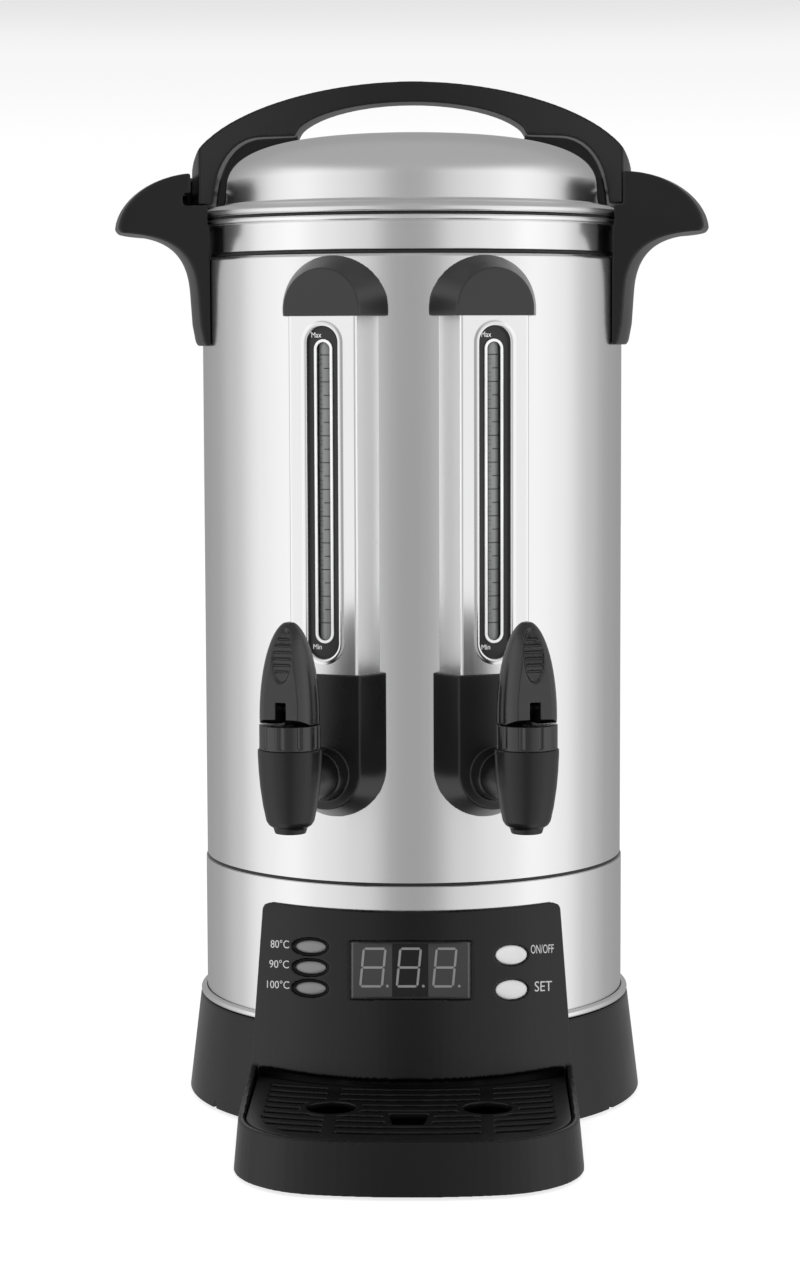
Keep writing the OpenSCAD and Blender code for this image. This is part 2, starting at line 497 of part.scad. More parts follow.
// ---------------------------------------------------------------- lid
module dome_outline(o) polygon(concat(
    [for (i = [0:20]) [bez(0, 60, 93.5, 96.6, 20)[i] + (i == 0 ? 0 : o), bez(dome_top, dome_top, dome_top - 5.9, 479, 20)[i] + o]],
    [[97.3 + o, 468.2], [98.8 + o, 466.7], [104, 465.9 + o], [106.6, 465.1 + o]],
    o > 0 ? [[112, 464], [112, 440], [0, 440]] : [for (a = [100:-15:-185]) [body_r - 1.9 + 1.9 * cos(a), 461.9 + 1.9 * sin(a)]],
    o > 0 ? [] : [[105.5, 464.3], [104, 465.1], [98.4, 465.9], [96.5, 467.8]],
    o > 0 ? [] : [for (i = [20:-1:0]) [bez(0, 59.4, 92.7, 95.8, 20)[i], bez(dome_top - 0.8, dome_top - 0.8, dome_top - 6.7, 478.9, 20)[i]]]));
module lid_dome() color("silver") place() difference() {
    rotate_extrude() dome_outline(0);
    for (a = [90, -90]) rotate([0, 0, a]) radial(2.1, -90, -100, 474);
}
module lid_pan() color("gainsboro") place() rotate_extrude() polygon([[0, 450.4], [101.8, 450.4], [101.8, 451.2], [100, 451.2], [100, 460], [106.4, 460], [106.4, 460.8], [99.2, 460.8], [99.2, 451.2], [0, 451.2]]);
module lid_seal() color("white") place() rotate_extrude() polygon([[100.3, 451.2], [102.9, 451.2], [102.9, 458.9], [108, 458.9], [108, 459.9], [100.3, 459.9]]);
module arch_outline() {
    half = concat(
        [for (i = [0:24]) [bez(0, 52, 108, 114.9, 24)[i], bez(arch_top, arch_top, arch_top - 19.2, 483, 24)[i]]],
        [[116, 466.3], [102, 466.3]],
        [for (i = [0:10]) [bez(101.9, 100.6, 92, 76, 10)[i], bez(467, 487, 501.5, 501.5, 10)[i]]],
        [[59.8, 502.2], [59.5, 503.4]],
        [for (i = [0:12]) [bez(57.6, 48, 24, 0, 12)[i], bez(506.5, 515.2, arch_top - 10.6, arch_top - 10.6, 12)[i]]]);
    polygon(half);
    mirror([1, 0]) polygon(half);
}
module lid_handle() color("dimgray") place() difference() {
    union() {
        difference() {
            intersection() { slab(40, 80) arch_outline(); disc(114.9, 460, 540); }
            for (s = [-1, 1]) translate([0, s * (arch_half + 260), 460]) cylinder(r = 260, h = 90);
        }
        // recessed web between each leg and the dome
        slab(10.5, 21) for (s = [-1, 1]) polygon([for (p = [[103, 466.3], [103.5, 480], [99, 492], [84, 503], [59.6, 503.4], [58, 500], [80, 466.3]]) [s * p[0], p[1]]]);
        // lugs of the bayonet and the screw bosses
        for (a = [0, 180]) rotate([0, 0, a]) {
            intersection() { ring(118.7, 113, 467.2, 481.2); rotate([0, 0, -3]) translate([100, 0, 460]) cube([30, 6.2, 40]); }
            translate([94, 0, 474]) rotate([0, 90, 0]) cylinder(r = 6, h = 10);
        }
    }
    rotate_extrude() dome_outline(0.12);
    for (a = [90, -90]) rotate([0, 0, a]) radial(2.05, -90, -107.2, 474);
}
module lid_handle_screws() color("gray") place() for (a = [90, -90]) rotate([0, 0, a]) { radial(2, -94, -106.8, 474); radial(3.4, -93.6, -95.9, 474); }

outer_shell();
neck_ring();
inner_tank();
lower_band();
trim_ring();
base_skirt();
base_plate();
rubber_feet();
base_screws();
side_grip_left();
side_grip_right();
side_grip_screws();
column_cover_left();
column_cover_right();
column_cap_left();
column_cap_right();
tap_housing_left();
tap_housing_right();
gauge_plates();
gauge_frames();
sight_tubes();
gauge_fittings();
tube_seals();
tap_body_left();
tap_body_right();
tap_bonnet_left();
tap_bonnet_right();
tap_spring_left();
tap_spring_right();
tap_washers();
tap_lock_nuts();
tap_stem_left();
tap_stem_right();
tap_seat_left();
tap_seat_right();
tap_lever_left();
tap_lever_right();
front_housing();
display_window();
display_module();
indicator_lenses();
control_board();
push_switches();
power_button();
set_button();
drip_basin();
drip_grille();
heat_plate();
heating_element();
dry_boil_thermostat();
temperature_probe();
power_board();
power_inlet();
wiring_harness();
lid_seal();
lid_dome();
lid_pan();
lid_handle();
lid_handle_screws();
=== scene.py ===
import json
import math

import bmesh
import bpy
from mathutils import Matrix, Vector


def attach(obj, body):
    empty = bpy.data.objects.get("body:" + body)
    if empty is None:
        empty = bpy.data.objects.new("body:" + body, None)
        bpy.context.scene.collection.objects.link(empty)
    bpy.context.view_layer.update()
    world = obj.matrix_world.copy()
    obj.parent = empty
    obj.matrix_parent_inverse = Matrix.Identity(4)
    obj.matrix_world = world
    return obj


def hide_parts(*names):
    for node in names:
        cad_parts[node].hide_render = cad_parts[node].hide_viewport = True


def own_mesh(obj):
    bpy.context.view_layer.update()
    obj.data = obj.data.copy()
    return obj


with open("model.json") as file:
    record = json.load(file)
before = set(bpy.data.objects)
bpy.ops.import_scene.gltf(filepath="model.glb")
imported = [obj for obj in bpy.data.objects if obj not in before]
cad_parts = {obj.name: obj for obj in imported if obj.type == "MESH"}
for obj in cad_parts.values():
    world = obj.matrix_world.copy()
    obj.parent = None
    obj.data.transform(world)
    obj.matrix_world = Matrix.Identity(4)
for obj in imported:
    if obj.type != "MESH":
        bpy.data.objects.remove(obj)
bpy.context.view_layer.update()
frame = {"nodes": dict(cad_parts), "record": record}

NODES = frame["nodes"]
BODY = {n: b for b, ns in frame["record"]["behaviour"]["bodies"].items() for n in ns}
AX_Y = 0.0554         # the urn's axis stands at x = 0, y = AX_Y
LIFT = 0.002          # height of the rubber feet
scene = bpy.context.scene

# frames in which shapes are drawn, in millimetres: the urn (axis at 0, skirt's lower edge at 0),
# each gauge column, each tap, and the leaning control panel
ROOT = Matrix.Translation((0, AX_Y, LIFT)) @ Matrix.Scale(0.001, 4)
COL = {s: ROOT @ Matrix.Rotation(math.radians(20 * s), 4, "Z") for s in (-1, 1)}
TAP = {s: COL[s] @ Matrix.Translation((0, -167, 0)) for s in (-1, 1)}
PANEL = ROOT @ Matrix.Translation((0, -2.7, 107.5)) @ Matrix.Rotation(math.radians(-8.8), 4, "X")


# ---------------------------------------------------------------- materials
def new_material(name):
    m = bpy.data.materials.new(name)
    m.use_nodes = True
    nt = m.node_tree
    nt.nodes.clear()
    out = nt.nodes.new("ShaderNodeOutputMaterial")
    bsdf = nt.nodes.new("ShaderNodeBsdfPrincipled")
    nt.links.new(bsdf.outputs["BSDF"], out.inputs["Surface"])
    return m, nt, bsdf


def coords(nt, scale):
    tc = nt.nodes.new("ShaderNodeTexCoord")
    mp = nt.nodes.new("ShaderNodeMapping")
    mp.inputs["Scale"].default_value = scale
    nt.links.new(tc.outputs["Object"], mp.inputs["Vector"])
    return mp.outputs["Vector"]


def noise(nt, vec, scale, detail=3.0, rough=0.55):
    n = nt.nodes.new("ShaderNodeTexNoise")
    n.inputs["Scale"].default_value = scale
    n.inputs["Detail"].default_value = detail
    n.inputs["Roughness"].default_value = rough
    nt.links.new(vec, n.inputs["Vector"])
    return n.outputs["Fac"]


def remap(nt, fac, lo, hi):
    r = nt.nodes.new("ShaderNodeMapRange")
    r.inputs["From Min"].default_value = 0.3
    r.inputs["From Max"].default_value = 0.7
    r.inputs["To Min"].default_value = lo
    r.inputs["To Max"].default_value = hi
    nt.links.new(fac, r.inputs["Value"])
    return r.outputs["Result"]


def two_tone(nt, fac, a, b):
    r = nt.nodes.new("ShaderNodeValToRGB")
    r.color_ramp.elements[0].position = 0.3
    r.color_ramp.elements[1].position = 0.7
    r.color_ramp.elements[0].color = (*a, 1)
    r.color_ramp.elements[1].color = (*b, 1)
    nt.links.new(fac, r.inputs["Fac"])
    return r.outputs["Color"]


def bump(nt, height, strength, distance):
    b = nt.nodes.new("ShaderNodeBump")
    b.inputs["Strength"].default_value = strength
    b.inputs["Distance"].default_value = distance
    nt.links.new(height, b.inputs["Height"])
    return b.outputs["Normal"]


def lighter_edges(nt, color, amount):
    """The colour is a little lighter where the surface turns sharply outwards."""
    g = nt.nodes.new("ShaderNodeNewGeometry")
    r = nt.nodes.new("ShaderNodeMapRange")
    r.inputs["From Min"].default_value = 0.53
    r.inputs["From Max"].default_value = 0.62
    r.inputs["To Min"].default_value = 0.0
    r.inputs["To Max"].default_value = amount
    nt.links.new(g.outputs["Pointiness"], r.inputs["Value"])
    m = nt.nodes.new("ShaderNodeMixRGB")
    m.blend_type = "ADD"
    nt.links.new(r.outputs["Result"], m.inputs[0])
    nt.links.new(color, m.inputs[1])
    m.inputs[2].default_value = (1, 1, 1, 1)
    return m.outputs[0]


def steel(name, tone=0.78, rough=0.2, brush=(6, 6, 900), spread=0.02, depth=0.000002, contrast=0.012):
    """Stainless steel: fine drawn lines in one direction, which also set its tone, and a slow drift of gloss."""
    m, nt, b = new_material(name)
    lines = noise(nt, coords(nt, brush), 1.0, 2.0, 0.6)
    cloud = noise(nt, coords(nt, (1, 1, 1)), 9.0, 3.0)
    b.inputs["Metallic"].default_value = 1.0
    nt.links.new(lighter_edges(nt, two_tone(nt, lines, (tone * (1 - contrast),) * 3, (tone * (1 + contrast),) * 3), 0.03), b.inputs["Base Color"])
    add = nt.nodes.new("ShaderNodeMath")
    add.operation = "ADD"
    nt.links.new(remap(nt, lines, rough - spread, rough + spread), add.inputs[0])
    nt.links.new(remap(nt, cloud, -0.012, 0.012), add.inputs[1])
    nt.links.new(add.outputs[0], b.inputs["Roughness"])
    nt.links.new(bump(nt, lines, 0.25, depth), b.inputs["Normal"])
    return m


def plastic(name, tone, rough=0.42, grain=0.00003, scale=1500.0, specular=0.5, tint=(1, 1, 1), spread=0.05, edge_lift=0.004):
    """Moulded plastic: fine spark-eroded grain, slightly uneven gloss, and a faint change of tone."""
    m, nt, b = new_material(name)
    fine = noise(nt, coords(nt, (1, 1, 1)), scale, 2.0, 0.6)
    slow = noise(nt, coords(nt, (1, 1, 1)), 22.0, 3.0)
    lo = tuple(tone * 0.92 * t for t in tint)
    hi = tuple(tone * 1.1 * t for t in tint)
    nt.links.new(lighter_edges(nt, two_tone(nt, slow, lo, hi), edge_lift), b.inputs["Base Color"])
    nt.links.new(remap(nt, slow, rough - spread, rough + spread), b.inputs["Roughness"])
    b.inputs["Specular IOR Level"].default_value = specular
    if grain:
        nt.links.new(bump(nt, fine, 0.35, grain), b.inputs["Normal"])
    return m


def clear(name, tone=(0.86, 0.9, 0.9), rough=0.06, alpha=0.35):
    m, nt, b = new_material(name)
    haze = noise(nt, coords(nt, (1, 1, 0.3)), 160.0, 2.0)
    nt.links.new(remap(nt, haze, rough, rough + 0.08), b.inputs["Roughness"])
    nt.links.new(two_tone(nt, haze, tone, tuple(min(1, t * 1.05) for t in tone)), b.inputs["Base Color"])
    b.inputs["Alpha"].default_value = alpha
    b.inputs["IOR"].default_value = 1.49
    return m


MAT = {
    "shell": steel("shell_steel", 0.80, 0.22, (300, 300, 4), 0.012, 0.000001, 0.006),
    "cover": steel("column_steel", 0.92, 0.29, (300, 300, 4), 0.012, 0.000001, 0.006),
    "dome": steel("dome_steel", 0.82, 0.3, (14, 14, 500), 0.006, 0.0000002, 0.003),
    "bright": steel("bright_steel", 0.84, 0.2, (14, 14, 500), 0.012, 0.0000005, 0.005),
    # tank_steel_brightened is the shell's steel toned up to 0.92: painted light that lifts the shaded inside of the
    # tank and the lid pan
    "inner": steel("tank_steel_brightened", 0.92, 0.3, (12, 12, 400), 0.012, 0.0000005, 0.006),
    "fastener": steel("fastener_steel", 0.6, 0.32, (300, 300, 300)),
    "black": plastic("black_plastic", 0.0015, 0.26, 0.00001, specular=0.37),
    "soft_black": plastic("soft_black_plastic", 0.004, 0.31, 0.00001, specular=0.42),
    # cap_black and housing_black are the black plastic toned lighter (0.012 and 0.007): painted light for the caps and
    # tap housings, which look brighter
    "cap_black": plastic("cap_black_plastic", 0.012, 0.3, 0.00001, specular=0.62),
    "housing_black": plastic("housing_black_plastic", 0.007, 0.3, 0.00001, specular=0.5),
    "lever_black": plastic("lever_black_plastic", 0.005, 0.24, 0.00001, specular=0.75),
    "tray_black": plastic("tray_black_plastic", 0.003, 0.33, 0.00001, specular=0.35),
    "seal": plastic("lid_seal_dark", 0.01, 0.5, 0.00001),
    "plate": plastic("gauge_plate_black", 0.012, 0.35, 0.00001),
    "white": plastic("white_plastic", 0.78, 0.3, 0.000008),
    "key_white": plastic("key_white_plastic", 0.68, 0.3, 0.000006),
    "window": plastic("display_window", 0.035, 0.2, 0.000002, 900, 0.5, spread=0.02),
    # display_window_edge is the window plastic toned lighter: a painted highlight for the window's bevel faces
    "window_edge_highlight": plastic("display_window_edge", 0.07, 0.25, 0.000002, 900, 0.6, spread=0.02),
    "tile": plastic("display_middle_black", 0.004, 0.25, 0.000002, 900, 0.3, spread=0.02),
    "segment": plastic("display_segment_grey", 0.2, 0.4, 0.000002, 900),
    "display": plastic("display_black", 0.02, 0.5),
    "lens": plastic("lens_grey", 0.2, 0.3, 0.000006),
    "seat": plastic("lens_seat_black", 0.013, 0.4, 0.00001, specular=0.4),
    "print": plastic("label_grey", 0.52, 0.5, 0.000004),
    "print_bright": plastic("label_white", 0.75, 0.5, 0.000004),
    "ink": plastic("scale_ink", 0.015, 0.5, 0.000004),
    "green": plastic("board_green", 0.1, 0.4, 0.00002, tint=(0.3, 1, 0.5)),
    "cream": plastic("valve_white", 0.75, 0.35),
    "silicone": plastic("silicone", 0.68, 0.55, 0.00002, tint=(1, 0.96, 0.9)),
    "rubber": plastic("foot_rubber", 0.015, 0.7, 0.00008, 900),
    "tan": plastic("ceramic_tan", 0.5, 0.7, 0.00005, 900, tint=(1, 0.85, 0.62)),
    "wire": plastic("wire_brown", 0.2, 0.45, tint=(1, 0.5, 0.25)),
    "cast": steel("cast_aluminium", 0.5, 0.45, (220, 220, 220), 0.06, 0.00004, 0.03),
    "element": steel("element_steel", 0.32, 0.38, (160, 160, 160), 0.06, 0.00001, 0.03),
    "tube": plastic("clear_tube", 0.2, 0.22, 0.000002, 160, 0.6, tint=(0.97, 1, 1)),
}
BY_NODE = {
    "outer_shell": "shell", "lower_band": "shell", "column_cover_left": "shell", "column_cover_right": "shell",
    "lid_dome": "dome", "neck_ring": "bright", "trim_ring": "bright", "inner_tank": "inner", "lid_pan": "inner",
    "gauge_plates": "plate", "gauge_frames": "white", "power_button": "key_white", "set_button": "key_white",
    "gauge_fittings": "cream", "sight_tubes": "tube", "display_window": "window", "display_module": "display",
    "push_switches": "display", "indicator_lenses": "lens", "control_board": "green", "power_board": "green",
    "tap_stem_left": "lever_black", "tap_stem_right": "lever_black", "lid_seal": "seal", "tube_seals": "silicone",
    "tap_washers": "silicone", "tap_seat_left": "silicone", "tap_seat_right": "silicone", "rubber_feet": "rubber",
    "base_screws": "fastener", "side_grip_screws": "fastener", "lid_handle_screws": "fastener", "tap_spring_left": "fastener",
    "tap_spring_right": "fastener", "tap_lock_nuts": "fastener", "temperature_probe": "fastener", "heat_plate": "cast",
    "heating_element": "element", "dry_boil_thermostat": "tan", "wiring_harness": "wire",
}
for name, o in NODES.items():
    m = MAT[BY_NODE.get(name, "black")]
    o.data.materials.clear()
    o.data.materials.append(m)



# ---------------------------------------------------------------- mesh helpers
def link(name, mesh):
    o = bpy.data.objects.new(name, mesh)
    scene.collection.objects.link(o)
    return o


def build(name, points, faces, matrix, smooth=True):
    """A closed mesh from points in local millimetres, with doubled points merged and normals turned outwards."""
    me = bpy.data.meshes.new(name)
    me.from_pydata([matrix @ Vector(p) for p in points], [], faces)
    bm = bmesh.new()
    bm.from_mesh(me)
    bmesh.ops.remove_doubles(bm, verts=bm.verts, dist=1e-7)
    bmesh.ops.dissolve_degenerate(bm, edges=bm.edges, dist=1e-8)
    bmesh.ops.recalc_face_normals(bm, faces=bm.faces)
    bm.to_mesh(me)
    bm.free()
    if smooth:
        me.shade_smooth()
    return link(name, me)


def bake(o):
    """Replaces the object's mesh by the result of its modifiers."""
    me = bpy.data.meshes.new_from_object(o.evaluated_get(bpy.context.evaluated_depsgraph_get()))
    o.modifiers.clear()
    o.data = me
    return o


def cut(o, *cutters):
    for c in cutters:
        m = o.modifiers.new("cut", "BOOLEAN")
        m.operation = "DIFFERENCE"
        m.solver = "EXACT"
        m.object = c
    bake(o)
    for c in cutters:
        bpy.data.objects.remove(c)
    return o


def fillet(points, radii, steps=5):
    """A closed outline with its corners rounded; radii is one number or one per corner."""
    out = []
    n = len(points)
    for i, p in enumerate(points):
        r = radii[i] if isinstance(radii, (list, tuple)) else radii
        a = Vector(points[i - 1]) - Vector(p)
        b = Vector(points[(i + 1) % n]) - Vector(p)
        if r <= 0 or a.length < 1e-6 or b.length < 1e-6:
            out.append(tuple(p))
            continue
        half = a.angle(b) / 2
        t = r / math.tan(half) if half > 0.01 else 0
        t = min(t, a.length * 0.49, b.length * 0.49)
        r = t * math.tan(half)
        if t < 1e-6 or half > math.pi / 2 - 0.02:
            out.append(tuple(p))
            continue
        centre = Vector(p) + (a.normalized() + b.normalized()).normalized() * (r / math.sin(half))
        s = Vector(p) + a.normalized() * t - centre
        e = Vector(p) + b.normalized() * t - centre
        turn = s.angle_signed(e)
        for k in range(steps + 1):
            w = -turn * k / steps
            q = centre + Vector((s.x * math.cos(w) - s.y * math.sin(w), s.x * math.sin(w) + s.y * math.cos(w)))
            out.append((q.x, q.y))
    return out


def bez(a, b, c, d, n):
    return [(1 - t) ** 3 * a + 3 * (1 - t) ** 2 * t * b + 3 * (1 - t) * t * t * c + t ** 3 * d for t in (i / n for i in range(n + 1))]


def lathe(name, outline, matrix=None, seg=224):
    """A closed outline of (radius, height) turned about the local Z axis."""
    pts, faces = [], []
    n = len(outline)
    for k in range(seg):
        c, s = math.cos(2 * math.pi * k / seg), math.sin(2 * math.pi * k / seg)
        pts += [(r * c, r * s, z) for r, z in outline]
    for k in range(seg):
        j = (k + 1) % seg
        for i in range(n):
            l = (i + 1) % n
            if outline[i][0] < 1e-6 and outline[l][0] < 1e-6:
                continue
            faces.append((k * n + i, j * n + i, j * n + l, k * n + l))
    return build(name, pts, faces, matrix or ROOT)


def loft(name, rings, matrix, around=False, smooth=True):
    """Rings of equally many points joined in turn; the ends are closed, or joined to each other."""
    pts = [p for r in rings for p in r]
    n, m = len(rings[0]), len(rings)
    faces = []
    for k in range(m if around else m - 1):
        j = (k + 1) % m
        for i in range(n):
            l = (i + 1) % n
            faces.append((k * n + i, k * n + l, j * n + l, j * n + i))
    if not around:
        faces.append(tuple(range(n - 1, -1, -1)))
        faces.append(tuple((m - 1) * n + i for i in range(n)))
    return build(name, pts, faces, matrix, smooth)


def prism(name, outline, y0, y1, matrix):
    """An outline in the local x-z plane, from depth y0 to y1."""
    return loft(name, [[(x, y0, z) for x, z in outline], [(x, y1, z) for x, z in outline]], matrix, smooth=False)


def block(name, x0, x1, y0, y1, z0, z1, matrix):
    return prism(name, [(x0, z0), (x1, z0), (x1, z1), (x0, z1)], y0, y1, matrix)


def stadium(a, c0, c1, n=28):
    """Round-ended outline of half width a, its lower and upper centres at c0 and c1."""
    return [(a * math.cos(t), c1 + a * math.sin(t)) for t in (math.pi * i / n for i in range(n + 1))] + [
        (a * math.cos(t), c0 + a * math.sin(t)) for t in (math.pi + math.pi * i / n for i in range(n + 1))]


def stadium_ring(name, profile, matrix):
    """A closed profile of (half width, depth y, lower centre, upper centre) swept along a round-ended path."""
    return loft(name, [[(x, y, z) for x, z in stadium(a, c0, c1)] for a, y, c0, c1 in profile], matrix, around=True)


def finish_piece(o, mat, nodes=(), body=None, angle=32, weighted=True):
    o.data.materials.clear()
    o.data.materials.append(MAT[mat])
    if angle:
        o.data.set_sharp_from_angle(angle=math.radians(angle))
    if weighted:
        m = o.modifiers.new("even_normals", "WEIGHTED_NORMAL")
        m.keep_sharp = True
        m.weight = 60
    for p in o.data.polygons:
        p.material_index = 0
    nodes = (nodes,) if isinstance(nodes, str) else tuple(nodes)
    if nodes:
        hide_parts(*nodes)
    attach(o, body or BODY[nodes[0]])
    return o


def moulding(node, mat, voxel, passes, tris, edit=None, factor=0.5):
    """A moulded piece: the node's own form as one fine skin whose corners are softened, as a moulding's are."""
    o = link(node + "_moulding", NODES[node].data.copy())
    bm = bmesh.new()
    bm.from_mesh(o.data)
    bmesh.ops.remove_doubles(bm, verts=bm.verts, dist=2e-6)
    bm.to_mesh(o.data)
    bm.free()
    m = o.modifiers.new("skin", "REMESH")
    m.mode = "VOXEL"
    m.voxel_size = voxel * 0.001
    m = o.modifiers.new("soften", "SMOOTH")
    m.factor = factor
    m.iterations = passes
    bake(o)
    if edit:
        edit(o)
    count = sum(len(p.vertices) - 2 for p in o.data.polygons)
    if tris < count:
        m = o.modifiers.new("thin_out", "DECIMATE")
        m.ratio = tris / count
        bake(o)
    o.data.shade_smooth()
    return finish_piece(o, mat, node, angle=0, weighted=False)


# ---------------------------------------------------------------- body
def shank_holes(r, z, side):
    """Round cutter along a column's radial line."""
    return loft(f"hole_{side}_{z}", [[(r * math.cos(t), y, z + r * math.sin(t)) for t in (2 * math.pi * i / 48 for i in range(48))] for y in (-125, -88)], COL[side])


body = lathe("outer_shell_sheet", fillet(
    [(110, 118), (110, 124.9), (109.55, 125.1), (109.55, 126.2), (110, 126.6), (110, 439.6), (104.4, 439.6), (104.4, 438.8), (109.2, 438.8), (109.2, 126.9), (108.75, 126.4), (108.75, 124.9), (109.2, 124.5), (109.2, 118)],
    [0, 0.2, 0.25, 0.25, 0.3, 2.2, 0.15, 0.15, 1.4, 0.3, 0.2, 0.2, 0.2, 0]))
finish_piece(cut(body, *[shank_holes(8.3, 183, s) for s in (-1, 1)], *[shank_holes(4.3, 420, s) for s in (-1, 1)]), "shell", "outer_shell")
finish_piece(lathe("neck_ring_band", fillet([(104.4, 439.62), (105.2, 439.62), (105.2, 441.1), (106.2, 441.9), (106.2, 455.58), (105.4, 455.58), (105.4, 442.3), (104.4, 441.4)], [0, 0.3, 0.5, 0.7, 0.1, 0.1, 0.4, 0.2])), "bright", "neck_ring")
tank = lathe("inner_tank_pot", fillet(
    [(0, 131), (96, 131), (104, 139), (104, 455.6), (107.5, 455.6)], [0, 5, 5, 0.8, 0], 6)
    + [(107.45 + 1.55 * math.cos(math.radians(a)), 457.3 + 1.55 * math.sin(math.radians(a))) for a in range(-90, 211, 15)]
    + fillet([(103.2, 456.2), (103.2, 139.33), (95.67, 131.8), (0, 131.8)], [0.4, 5, 5, 0], 6))
finish_piece(cut(tank, *[shank_holes(8.3, 183, s) for s in (-1, 1)], *[shank_holes(4.3, 420, s) for s in (-1, 1)]), "inner", "inner_tank")
band = lathe("lower_band_sheet", fillet([(110.6, 51), (110.6, 124.75), (110.08, 124.75), (110.08, 118), (107.6, 118), (107.6, 117.2), (110.1, 117.2), (110.1, 51)], [0.1, 0.42, 0.1, 0.2, 0.1, 0.1, 0.3, 0.1]))
finish_piece(cut(band, block("band_gap", -62, 62, -130, -70, 60, 104, ROOT)), "shell", "lower_band")
finish_piece(lathe("trim_ring_bead", [(110.72, 51.02)] + [(111.9 + 2 * math.cos(math.radians(a)), 53.02 + 2 * math.sin(math.radians(a))) for a in range(-88, 117, 12)] + [(110.95, 54.3), (110.85, 53.6), (110.72, 53.2)]), "bright", "trim_ring")
# dark beads in the shell's two seams: painted shade, dark rings set in for the shadow in the seams' creases
finish_piece(lathe("neck_seam_shade_bead", [(105.6 + 0.62 * math.cos(math.radians(a)), 440.3 + 0.62 * math.sin(math.radians(a))) for a in range(0, 360, 30)]), "seat", (), "urn_body", angle=0, weighted=False)
finish_piece(lathe("lower_seam_shade_bead", [(109.5 + 0.55 * math.cos(math.radians(a)), 125.6 + 0.6 * math.sin(math.radians(a))) for a in range(0, 360, 30)]), "seat", (), "urn_body", angle=0, weighted=False)
plate = lathe("base_plate_stamping", fillet([(0, 0), (116.6, 0), (116.6, 2), (0, 2)], [0, 0.5, 0.3, 0]), seg=160)
cutters = []
for a in (45, 135, 225, 315):
    m = ROOT @ Matrix.Rotation(math.radians(a), 4, "Z")
    for r, h in ((92, 2.6), (107, 2.1)):
        cutters.append(loft(f"plate_hole_{a}_{r}", [[(r + h * math.cos(t), h * math.sin(t), z) for t in (2 * math.pi * q / 32 for q in range(32))] for z in (-1, 3)], m))
for i in range(-4, 5):
    cutters.append(loft(f"plate_vent_{i}", [[(i * 9 + x, y, z) for x, y in fillet([(-2, -30), (2, -30), (2, 4), (-2, 4)], 1.9, 6)] for z in (-1, 3)], ROOT))
finish_piece(cut(plate, *cutters), "black", "base_plate")
skirt = lathe("base_skirt_moulding", fillet([(120.2, 0), (114, 51), (108.5, 51), (108.5, 48.5), (111.4, 48.5), (117.5, 0)], [0.5, 1.2, 0.3, 0.3, 1, 0.5]))
cutters = []
for a in (31, 149, 211, 329):
    m = ROOT @ Matrix.Rotation(math.radians(a + 90), 4, "Z")
    cutters.append(prism(f"notch_{a}", [(-2.2, -1), (-2.2, 0), (-1.3, 3.1), (-0.5, 4.3), (0.5, 4.3), (1.3, 3.1), (2.2, 0), (2.2, -1)], -123, -113, m))
cutters.append(block("inlet_gap", -15.7, 15.7, 116.8, 127, 13.8, 38.2, ROOT))
cutters.append(block("inlet_way", -14, 14, 100, 125, 15.8, 36.2, ROOT))
finish_piece(cut(skirt, *cutters), "black", "base_skirt")

# ---------------------------------------------------------------- lid
dome_o = [(r, z) for r, z in zip(bez(0, 60, 93.5, 96.6, 30), bez(503.9, 503.9, 498, 479, 30))]
dome_i = [(r, z) for r, z in zip(bez(0, 59.4, 92.7, 95.8, 30), bez(503.1, 503.1, 497.2, 478.9, 30))]
dome = lathe("lid_dome_pressing", dome_o
    + [(96.85, 472)] + fillet([(97, 469), (97.6, 466.9), (99.2, 466.1), (104, 465.7), (106.6, 464.7)], [0, 1.2, 0.8, 0, 0])[1:]
    + [(108.1 + 1.9 * math.cos(math.radians(a)), 461.9 + 1.9 * math.sin(math.radians(a))) for a in range(90, -190, -12)]
    + [(105.5, 464.2), (104, 464.9), (98.6, 465.4), (96.8, 466.6), (96.2, 469), (96.05, 472)] + dome_i[::-1], seg=256)
finish_piece(dome, "dome", "lid_dome")
finish_piece(lathe("lid_pan_pressing", fillet([(0, 450.4), (101.8, 450.4), (101.8, 451.2), (100, 451.2), (100, 460), (106.4, 460), (106.4, 460.8), (99.2, 460.8), (99.2, 451.2), (0, 451.2)], [0, 0.4, 0.3, 0.2, 0.5, 0.3, 0.3, 1, 0.5, 0])), "inner", "lid_pan")
finish_piece(lathe("lid_seal_lip", fillet([(100.35, 451.3), (102.9, 451.3), (102.9, 458.9), (108, 458.9), (108, 459.85), (100.35, 459.85)], [0.6, 0.9, 0.8, 0.4, 0.4, 0.3])), "seal", "lid_seal")
moulding("lid_handle", "soft_black", 0.75, 5, 70000).visible_glossy = False   # kept out of the dome's reflections, as a light tent keeps it out
for side in ("left", "right"):
    moulding(f"side_grip_{side}", "soft_black", 0.75, 4, 50000)

# ---------------------------------------------------------------- gauge columns
def cover_w(y):
    return 17.7 + (124 + y) * 0.345


